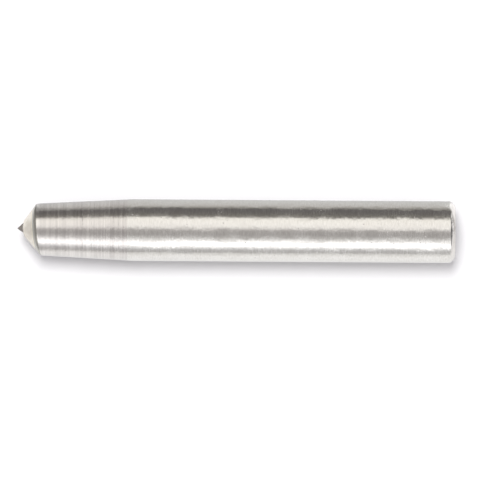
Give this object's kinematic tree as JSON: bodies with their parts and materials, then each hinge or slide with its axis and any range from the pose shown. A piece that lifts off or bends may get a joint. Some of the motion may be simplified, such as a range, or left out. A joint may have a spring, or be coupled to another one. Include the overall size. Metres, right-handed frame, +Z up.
{
  "type": "diamond dresser",
  "caption": "Round-shank diamond dresser: a rough diamond in a sintered nib, brazed into a tapered steel nose, for truing grinding wheels.",
  "frame": {"origin": "centre of the flat rear face, on the shank's axis", "axes": "X along the shank, with the rear end facing +X and the diamond point at the -X end; +Z up as the tool lies on a bench; the hand-ground nose cone leans slightly towards +Y"},
  "size_m": [0.071, 0.01, 0.01],
  "materials": {
    "shank_steel": "bright drawn bar with fine lengthwise drawing lines, the nose turned and the end ground by hand",
    "silver_braze": "silver brazing alloy, ground flush with the nose",
    "sintered_metal": "fine-grained hot-pressed metal powder, dull and slightly warm",
    "diamond": "grey-brown industrial diamond, nearly opaque, faces naturally etched"
  },
  "bodies": {
    "root": {"shank": "shank_steel", "braze_joint": "silver_braze", "sintered_nib": "sintered_metal", "diamond": "diamond"}
  },
  "joints": []
}
